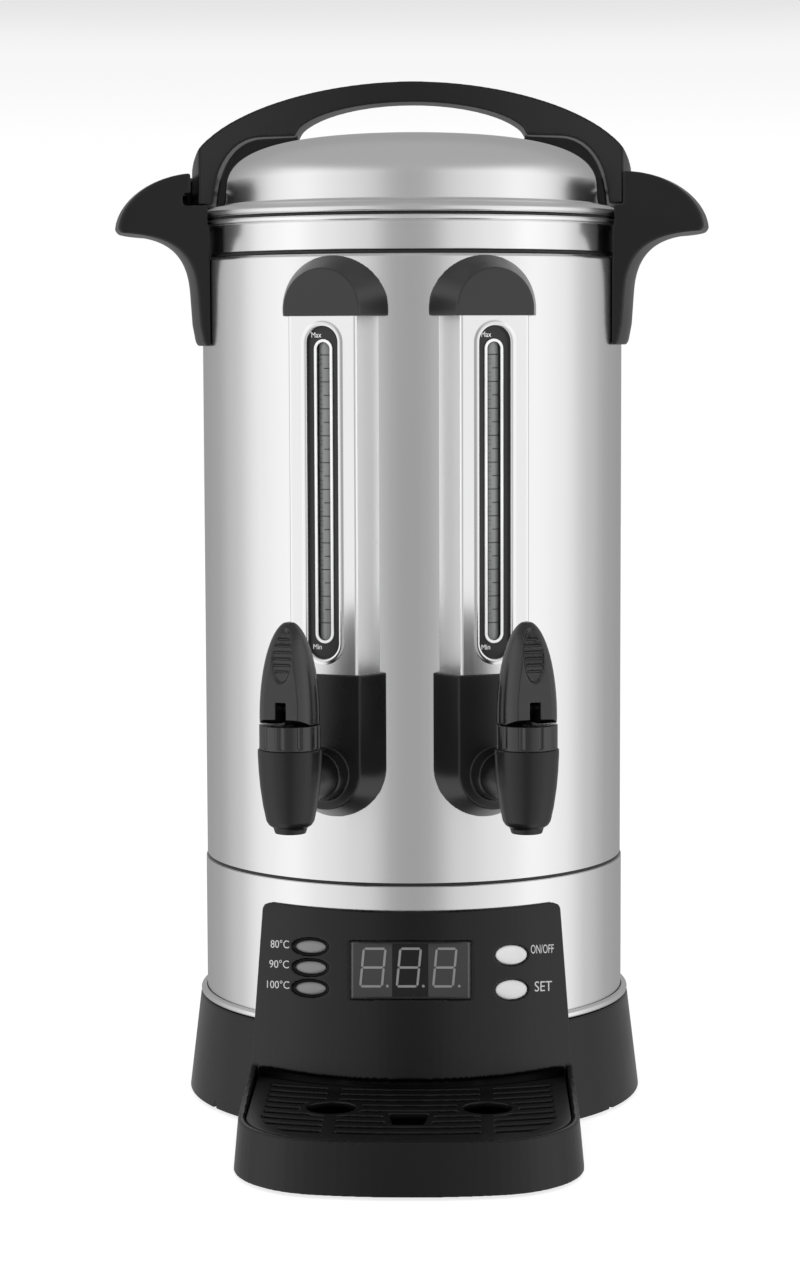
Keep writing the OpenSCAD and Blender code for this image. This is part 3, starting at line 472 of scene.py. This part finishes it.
for side, tag in ((-1, "left"), (1, "right")):
    k = 23.35
    plan = fillet([(-k, -107.55), (-17.7, -124), (17.7, -124), (k, -107.55)], [0, 1.7, 1.7, 0], 8) + fillet([(k - 1.06, -107.8), (16.98, -123), (-16.98, -123), (1.06 - k, -107.8)], [0, 0.8, 0.8, 0], 5)
    cover = loft(f"column_cover_{tag}_sheet", [[(x, y, z) for x, y in plan] for z in (232.55, 408.75)], COL[side])
    cut(cover, prism("slot", stadium(8.3, 248.2, 395.8), -130, -110, COL[side]))
    finish_piece(cover, "cover", f"column_cover_{tag}")
    rim = stadium_ring(f"column_window_rim_{tag}", [(a, y, 248.2, 395.8) for a, y in
        [(11.3, -123.5), (11.25, -123.98), (10.85, -124.03), (10.45, -124.18), (10.1, -124.36), (9.7, -124.48), (9.2, -124.5), (8.75, -124.44), (8.4, -124.25), (8.18, -123.95), (8.1, -123.5), (8.1, -121.9), (8.5, -121.9), (8.5, -122.9), (8.9, -123.4)]], COL[side])
    finish_piece(rim, "bright", (), "urn_body", angle=50)
    moulding(f"column_cap_{tag}", "cap_black", 0.42, 4, 30000)
    moulding(f"tap_housing_{tag}", "housing_black", 0.42, 9, 42000)
    # scale plate, window frame, sight tube and its scale
    plate = stadium_ring(f"gauge_plate_{tag}", [(9.5, -120.5, 248.3, 395.7), (9.5, -121.5, 248.3, 395.7), (9.3, -121.7, 248.3, 395.7), (3.6, -121.7, 252.6, 392.6), (3.5, -121.6, 252.6, 392.6), (3.5, -120.5, 252.6, 392.6)], COL[side])
    finish_piece(plate, "plate", ("gauge_plates",), "urn_body", angle=50)
    frame_ring = stadium_ring(f"gauge_frame_{tag}", [(a, y, 252.55, 392.65) for a, y in
        [(4.85, -122.2), (4.85, -122.55), (4.72, -122.8), (4.5, -122.9), (3.8, -122.9), (3.58, -122.8), (3.45, -122.55), (3.45, -122.2)]], COL[side])
    finish_piece(frame_ring, "white", ("gauge_frames",), "urn_body", angle=50)
    axis = COL[side] @ Matrix.Translation((0, -116.5, 0))
    tube = lathe(f"sight_tube_{tag}", fillet([(4.5, 200), (4.5, 412), (3.4, 412), (3.4, 200)], 0.3), axis, 64)
    finish_piece(tube, "tube", ("sight_tubes",), "urn_body")
    marks_p, marks_f = [], []

    def mark(z, h, a0, a1, steps=8):
        base = len(marks_p)
        for i in range(steps + 1):
            t = math.radians(a0 + (a1 - a0) * i / steps)
            for r, zz in ((4.5, z - h / 2), (4.62, z - h / 2), (4.62, z + h / 2), (4.5, z + h / 2)):
                marks_p.append((r * math.sin(t), -r * math.cos(t), zz))
        for i in range(steps):
            for q in range(4):
                marks_f.append((base + i * 4 + q, base + i * 4 + (q + 1) % 4, base + i * 4 + 4 + (q + 1) % 4, base + i * 4 + 4 + q))
        marks_f.append(tuple(base + q for q in range(4)))
        marks_f.append(tuple(base + steps * 4 + q for q in (3, 2, 1, 0)))

    for i in range(21):
        z = 389.8 - i * 6.6
        mark(z, 0.42, -4 if i % 2 else -34, 46)
        for q in (2.2, 4.4):
            if i < 20:
                mark(z - q, 0.16, -40, -12, 5)
    finish_piece(build(f"gauge_scale_{tag}", marks_p, marks_f, axis), "ink", (), "urn_body", angle=40, weighted=False)
    # tap
    moulding(f"tap_body_{tag}", "soft_black", 0.42, 3, 40000)
    moulding(f"tap_bonnet_{tag}", "lever_black", 0.3, 2, 26000)

    def thumb_rest(o, side=side):
        inv = TAP[side].inverted()
        rot = inv.to_3x3().normalized()
        for v in o.data.vertices:
            p = inv @ v.co
            n = (rot @ v.normal).normalized()
            if n.y > -0.35 or p.z < 230 or p.y > -1.5:
                continue
            e = (p.x / 5.6) ** 2 + ((p.z - 246.2) / 13.6) ** 2
            if e >= 1.12:
                continue
            w = max(0.0, min(1.0, (1.0 - e) / 0.3))
            depth = 1.25 * w * w * (3 - 2 * w)
            if 236.8 < p.z < 256.2:
                inside = max(0.0, min(1.0, (0.72 - e) / 0.2))
                wave = max(0.0, math.cos(2 * math.pi * (p.z - 239.0) / 3.05))
                depth -= 0.85 * inside * wave ** 1.5
            v.co = TAP[side] @ Vector((p.x, p.y + depth, p.z))

    moulding(f"tap_lever_{tag}", "lever_black", 0.3, 3, 52000, thumb_rest)
    # return spring, wound from round wire with its end turns laid flat
    turns, wire, coil = 6.5, 0.55, 5.0
    rings = []
    count = int(turns * 28)
    for i in range(count + 1):
        t = i / 28 * 2 * math.pi
        f = i / count
        g = min(1, max(0, (f - 0.1) / 0.8))
        z = 186.6 + 23.0 * g
        c = Vector((coil * math.cos(t), coil * math.sin(t), z))
        d = Vector((-math.sin(t), math.cos(t), 0.05))
        u = Vector((math.cos(t), math.sin(t), 0))
        w = d.cross(u).normalized()
        rings.append([tuple(c + u * wire * math.cos(b) + w * wire * math.sin(b)) for b in (2 * math.pi * q / 10 for q in range(10))])
    spring = loft(f"tap_spring_{tag}_coil", rings, TAP[side])
    finish_piece(spring, "fastener", f"tap_spring_{tag}", angle=60, weighted=False)
    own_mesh(spring)

# ---------------------------------------------------------------- lettering
def lettering(name, text, x0, x1, z0, z1, place, mat="print", slant=0.0, thick=0.12, bold=0.0):
    """Plain lettering stretched to a box in local x and z; place(x, z) gives the point on the surface and its outward normal."""
    cu = bpy.data.curves.new(name + "_text", "FONT")
    cu.body = text
    cu.resolution_u = 5
    cu.offset = bold
    t = bpy.data.objects.new(name + "_text", cu)
    scene.collection.objects.link(t)
    me = bpy.data.meshes.new_from_object(t.evaluated_get(bpy.context.evaluated_depsgraph_get()))
    bpy.data.objects.remove(t)
    xs = [v.co.x for v in me.vertices]
    ys = [v.co.y for v in me.vertices]
    ax, bx, ay, by = min(xs), max(xs), min(ys), max(ys)
    bm = bmesh.new()
    bm.from_mesh(me)
    bmesh.ops.remove_doubles(bm, verts=bm.verts, dist=1e-5)
    top = [f for f in bm.faces]
    flat = {}
    for v in bm.verts:
        h = (v.co.y - ay) / (by - ay)
        flat[v] = (x0 + (v.co.x - ax) / (bx - ax) * (x1 - x0) + slant * (h - 0.5), z0 + h * (z1 - z0))
    for v, (x, z) in flat.items():
        p, n = place(x, z)
        v.co = p
    geo = bmesh.ops.extrude_face_region(bm, geom=top, use_keep_orig=True)
    new = [e for e in geo["geom"] if isinstance(e, bmesh.types.BMVert)]
    for v in new:
        v.co = v.co + place(0, 0)[1] * (thick * 0.001)
    bmesh.ops.recalc_face_normals(bm, faces=bm.faces)
    bm.to_mesh(me)
    bm.free()
    o = link(name, me)
    return finish_piece(o, mat, (), "urn_body", angle=30, weighted=False)


def on_panel(lift=0.06):
    def place(x, z):
        y = -math.sqrt(110.0 ** 2 - x * x) - lift
        n = (PANEL.to_3x3() @ Vector((x, -math.sqrt(110.0 ** 2 - x * x), 0))).normalized()
        return PANEL @ Vector((x, y, z)), n
    return place


def on_flat(matrix, y):
    n = (matrix.to_3x3() @ Vector((0, -1, 0))).normalized()
    return lambda x, z: (matrix @ Vector((x, y, z)), n)


for text, x0, x1, z0, z1 in (("80°C", -71.3, -61.6, -30.6, -26.5), ("90°C", -72.0, -61.6, -40.7, -36.6), ("100°C", -73.2, -61.4, -51.0, -47.0),
                             ("ON/OFF", 60.4, 72.2, -33.2, -28.8), ("SET", 62.3, 71.2, -52.3, -47.2)):
    p, n = on_panel()((x0 + x1) / 2, 0)
    here = on_panel()
    lettering("label_" + text.replace("°", "_").replace("/", "_"), text, x0, x1, z0, z1, lambda x, z, here=here, n=n: (here(x, z)[0], n))
for side, tag in ((-1, "left"), (1, "right")):
    lettering(f"label_max_{tag}", "Max", -6.4, -1.2, 398.3, 400.9, on_flat(COL[side], -121.68), "print_bright")
    lettering(f"label_min_{tag}", "Min", -6.4, -1.9, 244.6, 247.1, on_flat(COL[side], -121.68), "print_bright")

# ---------------------------------------------------------------- front housing and controls
moulding("front_housing", "black", 0.7, 4, 150000)


def oval_face(name, cx, cz, rings, r=110.0, n=64):
    """Oval rings of (half width, half height, height above the panel's face) from the middle outwards and back."""
    out = []
    for a, b, h in rings:
        ring = []
        for i in range(n):
            t = 2 * math.pi * i / n
            x, z = cx + a * math.cos(t), cz + b * math.sin(t)
            ring.append((x, -math.sqrt(max(1.0, (r + h) ** 2 - x * x)), z))
        out.append(ring)
    return loft(name, out, PANEL)


for i in (-1, 0, 1):
    cz = -39.9 + i * 10.4
    bezel = oval_face(f"lens_seat_{i + 1}", -50.5, cz, [(7.45, 2.95, -2.4), (7.9, 3.25, -2.0), (8.5, 3.75, -1.7), (9.1, 4.15, -0.9), (9.4, 4.36, -0.25), (9.48, 4.4, -0.6), (9.48, 4.4, -3.4), (7.45, 2.95, -3.4)])
    finish_piece(bezel, "seat", (), "urn_body", angle=60)
    lens = oval_face(f"indicator_lens_{i + 1}", -50.2, cz - 0.1, [(0.5, 0.2, 0.1), (2.5, 1.05, 0.05), (4.5, 1.88, -0.15), (6.1, 2.52, -0.5), (7.1, 2.92, -0.95), (7.6, 3.12, -1.4), (7.7, 3.16, -2.0), (7.0, 2.85, -3.2), (3.3, 1.35, -3.2)])
    finish_piece(lens, "lens", ("indicator_lenses",), "urn_body", angle=60)
for z, node in ((-33.6, "power_button"), (-51.0, "set_button")):
    b = oval_face(node + "_cap", 50.5, z, [(0.3, 0.2, 0.98), (2.5, 1.5, 0.93), (4.6, 2.8, 0.75), (6.3, 3.85, 0.42), (7.2, 4.4, 0.1), (7.75, 4.7, -0.35), (7.98, 4.84, -0.9), (8.0, 4.85, -3.5), (9.2, 6.0, -3.55), (9.3, 6.1, -3.7), (9.3, 6.1, -4.9), (9.1, 5.9, -5.0), (3.5, 3.5, -5.0)])
    stem = loft(node + "_stem", [[(50.5 + 1.8 * math.cos(t), y, z + 1.8 * math.sin(t)) for t in (2 * math.pi * q / 32 for q in range(32))] for y in (-95, -88.2, -87.1)], PANEL)
    finish_piece(b, "key_white", node, angle=60)
    finish_piece(stem, "key_white", (), BODY[node], angle=40)

# display: bevelled window, dark tile in the middle, and the outlines of three unlit digits
wx, wz = 30.0, 14.25
win = loft("display_window_pane", [[(x * s0, y, -40.9 + z * s1) for x, z in ((-wx, -wz), (wx, -wz), (wx, wz), (-wx, wz))] for s0, s1, y in
    ((1, 1, -103.8), (1, 1, -104.35), (0.957, 0.93, -105.2))], PANEL)
finish_piece(win, "window", "display_window", angle=20, weighted=False)
# the bevel faces take the lighter copy of the window plastic: a painted highlight along the window's bevel
win.data.materials.append(MAT["window_edge_highlight"])
out = (PANEL.to_3x3() @ Vector((0, -1, 0))).normalized()
for p in win.data.polygons:
    p.material_index = 0 if p.normal.dot(out) > 0.97 else 1
tile = loft("display_middle_tile", [[(x, y, z) for x, z in ((-9.2, -54.1), (8.9, -54.1), (8.9, -27.7), (-9.2, -27.7))] for y in (-105.1, -105.24)], PANEL)
finish_piece(tile, "tile", (), "urn_body", angle=20, weighted=False)


def digit(name, xa, xb, z0=-49.5, z1=-29.6, lean=1.9, t=1.15, gap=0.22):
    pts, faces = [], []

    def bar(p, q):
        """A six-sided segment from p to q."""
        p, q = Vector(p), Vector(q)
        d = (q - p).normalized()
        w = Vector((-d.y, d.x)) * t / 2
        p, q = p + d * gap, q - d * gap
        loop = [p, p + d * t / 2 + w, q - d * t / 2 + w, q, q - d * t / 2 - w, p + d * t / 2 - w]
        base = len(pts)
        for y in (-105.2, -105.3):
            for v in loop:
                pts.append((v.x + lean * ((v.y - z0) / (z1 - z0) - 1), y, v.y))
        faces.append(tuple(base + i for i in range(5, -1, -1)))
        faces.append(tuple(base + 6 + i for i in range(6)))
        for i in range(6):
            j = (i + 1) % 6
            faces.append((base + i, base + j, base + 6 + j, base + 6 + i))

    a, b = xa + t / 2, xb - t / 2
    lo, mid, hi = z0 + t / 2, (z0 + z1) / 2, z1 - t / 2
    for p, q in (((a, hi), (b, hi)), ((a, mid), (b, mid)), ((a, lo), (b, lo)), ((a, mid), (a, hi)), ((b, mid), (b, hi)), ((a, lo), (a, mid)), ((b, lo), (b, mid))):
        bar(p, q)
    o = build(name, pts, faces, PANEL, smooth=False)
    return finish_piece(o, "segment", (), "urn_body", angle=30, weighted=False)


for i, (xa, xb, dot) in enumerate(((-23.9, -11.9, -11.6), (-5.6, 5.8, 6.4), (12.6, 23.6, 24.3))):
    digit(f"display_digit_{i + 1}", xa, xb)
    p = loft(f"display_dot_{i + 1}", [[(dot + 0.7 * math.cos(t), y, -48.8 + 0.7 * math.sin(t)) for t in (2 * math.pi * q / 24 for q in range(24))] for y in (-105.2, -105.3)], PANEL)
    finish_piece(p, "segment", (), "urn_body", angle=30, weighted=False)

# ---------------------------------------------------------------- tray
moulding("drip_grille", "tray_black", 0.5, 2, 110000)

# the pieces whose construction shape stays get eased edges
for node in ("drip_basin", "rubber_feet", "power_inlet", "power_board", "control_board", "heat_plate", "dry_boil_thermostat", "tap_lock_nuts", "gauge_fittings",
             "base_screws", "side_grip_screws", "lid_handle_screws", "tap_stem_left", "tap_stem_right", "tap_seat_left", "tap_seat_right", "temperature_probe", "display_module"):
    o = NODES[node]
    m = o.modifiers.new("join", "WELD")
    m.merge_threshold = 0.000002
    m = o.modifiers.new("ease", "BEVEL")
    m.width = 0.00025
    m.segments = 2
    m.limit_method = "ANGLE"
    m.angle_limit = math.radians(50)
    m.use_clamp_overlap = True

# ---------------------------------------------------------------- camera, lights, floor
cam_data = bpy.data.cameras.new("camera")
cam = bpy.data.objects.new("camera", cam_data)
scene.collection.objects.link(cam)
cam_data.lens = 87.77
cam_data.sensor_width = 36.0
AZ = math.radians(0.9)
cam.location = Vector((1.635 * math.sin(AZ), AX_Y - 1.635 * math.cos(AZ), 0.3965 + LIFT))
heading = AZ + math.radians(0.243)
pitch = math.radians(5.41)
look = Vector((-math.sin(heading) * math.cos(pitch), math.cos(heading) * math.cos(pitch), -math.sin(pitch)))
cam.rotation_mode = "QUATERNION"
cam.rotation_quaternion = look.to_track_quat("-Z", "Y") @ Matrix.Rotation(math.radians(-0.2), 3, "Z").to_quaternion()
scene.camera = cam

bpy.ops.mesh.primitive_plane_add(size=9, location=(0, 0.6, 0))
floor = bpy.context.object
floor.name = "floor"
fm, nt, b = new_material("floor_white")
b.inputs["Base Color"].default_value = (0.45, 0.45, 0.45, 1)
b.inputs["Roughness"].default_value = 0.9
b.inputs["Emission Color"].default_value = (1, 1, 1, 1)
b.inputs["Emission Strength"].default_value = 0.78
floor.data.materials.append(fm)
floor.visible_glossy = False

# a large soft lamp above the camera; only matt surfaces see it
lamp_data = bpy.data.lights.new("soft_front", "AREA")
lamp_data.shape = "SQUARE"
lamp_data.size = 1.3
lamp_data.energy = 14
lamp = bpy.data.objects.new("soft_front", lamp_data)
scene.collection.objects.link(lamp)
lamp.location = (0, AX_Y - 1.55, 1.25)
lamp.rotation_mode = "QUATERNION"
lamp.rotation_quaternion = (Vector((0, AX_Y, 0.28)) - lamp.location).to_track_quat("-Z", "Y")
lamp.visible_glossy = False

world = bpy.data.worlds.new("studio")
scene.world = world
world.use_nodes = True
nt = world.node_tree
nt.nodes.clear()
out = nt.nodes.new("ShaderNodeOutputWorld")
tc = nt.nodes.new("ShaderNodeTexCoord")
sep = nt.nodes.new("ShaderNodeSeparateXYZ")
nt.links.new(tc.outputs["Generated"], sep.inputs[0])


def wmath(op, a, b=None):
    n = nt.nodes.new("ShaderNodeMath")
    n.operation = op
    for i, v in enumerate((a, b)):
        if v is None:
            continue
        if isinstance(v, (int, float)):
            n.inputs[i].default_value = v
        else:
            nt.links.new(v, n.inputs[i])
    return n.outputs[0]


def ramp(fac, stops):
    r = nt.nodes.new("ShaderNodeValToRGB")
    r.color_ramp.interpolation = "EASE"
    e = r.color_ramp.elements
    e[0].position, e[1].position = stops[0][0], stops[-1][0]
    e[0].color = (stops[0][1],) * 3 + (1,)
    e[1].color = (stops[-1][1],) * 3 + (1,)
    for p, v in stops[1:-1]:
        x = e.new(p)
        x.color = (v, v, v, 1)
    nt.links.new(fac, r.inputs["Fac"])
    return r.outputs["Color"]


flat_len = wmath("SQRT", wmath("ADD", wmath("MULTIPLY", sep.outputs[0], sep.outputs[0]), wmath("MULTIPLY", sep.outputs[1], sep.outputs[1])))
azimuth = wmath("DIVIDE", wmath("ARCCOSINE", wmath("DIVIDE", wmath("MULTIPLY", sep.outputs[1], -1.0), wmath("MAXIMUM", flat_len, 0.0001))), math.pi)
around = ramp(azimuth, [(0.0, 0.4), (0.05, 0.43), (0.14, 0.8), (0.28, 0.97), (0.38, 1.18), (0.5, 1.05), (0.62, 0.64), (0.75, 0.42), (0.88, 0.36), (1.0, 0.36)])
above = ramp(sep.outputs[2], [(0.0, 0.0), (0.45, 0.0), (0.75, 1.0), (1.0, 1.0)])
mix = nt.nodes.new("ShaderNodeMixRGB")
nt.links.new(above, mix.inputs[0])
nt.links.new(around, mix.inputs[1])
mix.inputs[2].default_value = (0.46, 0.46, 0.46, 1)
lp = nt.nodes.new("ShaderNodeLightPath")
seen = nt.nodes.new("ShaderNodeMixRGB")
nt.links.new(lp.outputs["Is Camera Ray"], seen.inputs[0])
nt.links.new(mix.outputs[0], seen.inputs[1])
nt.links.new(ramp(sep.outputs[2], [(0.0, 1.0), (0.06, 1.0), (0.089, 0.93), (0.11, 0.78), (0.3, 0.74), (1.0, 0.74)]), seen.inputs[2])
bg = nt.nodes.new("ShaderNodeBackground")
nt.links.new(seen.outputs[0], bg.inputs[0])
nt.links.new(bg.outputs[0], out.inputs[0])
scene.view_settings.view_transform = "Standard"
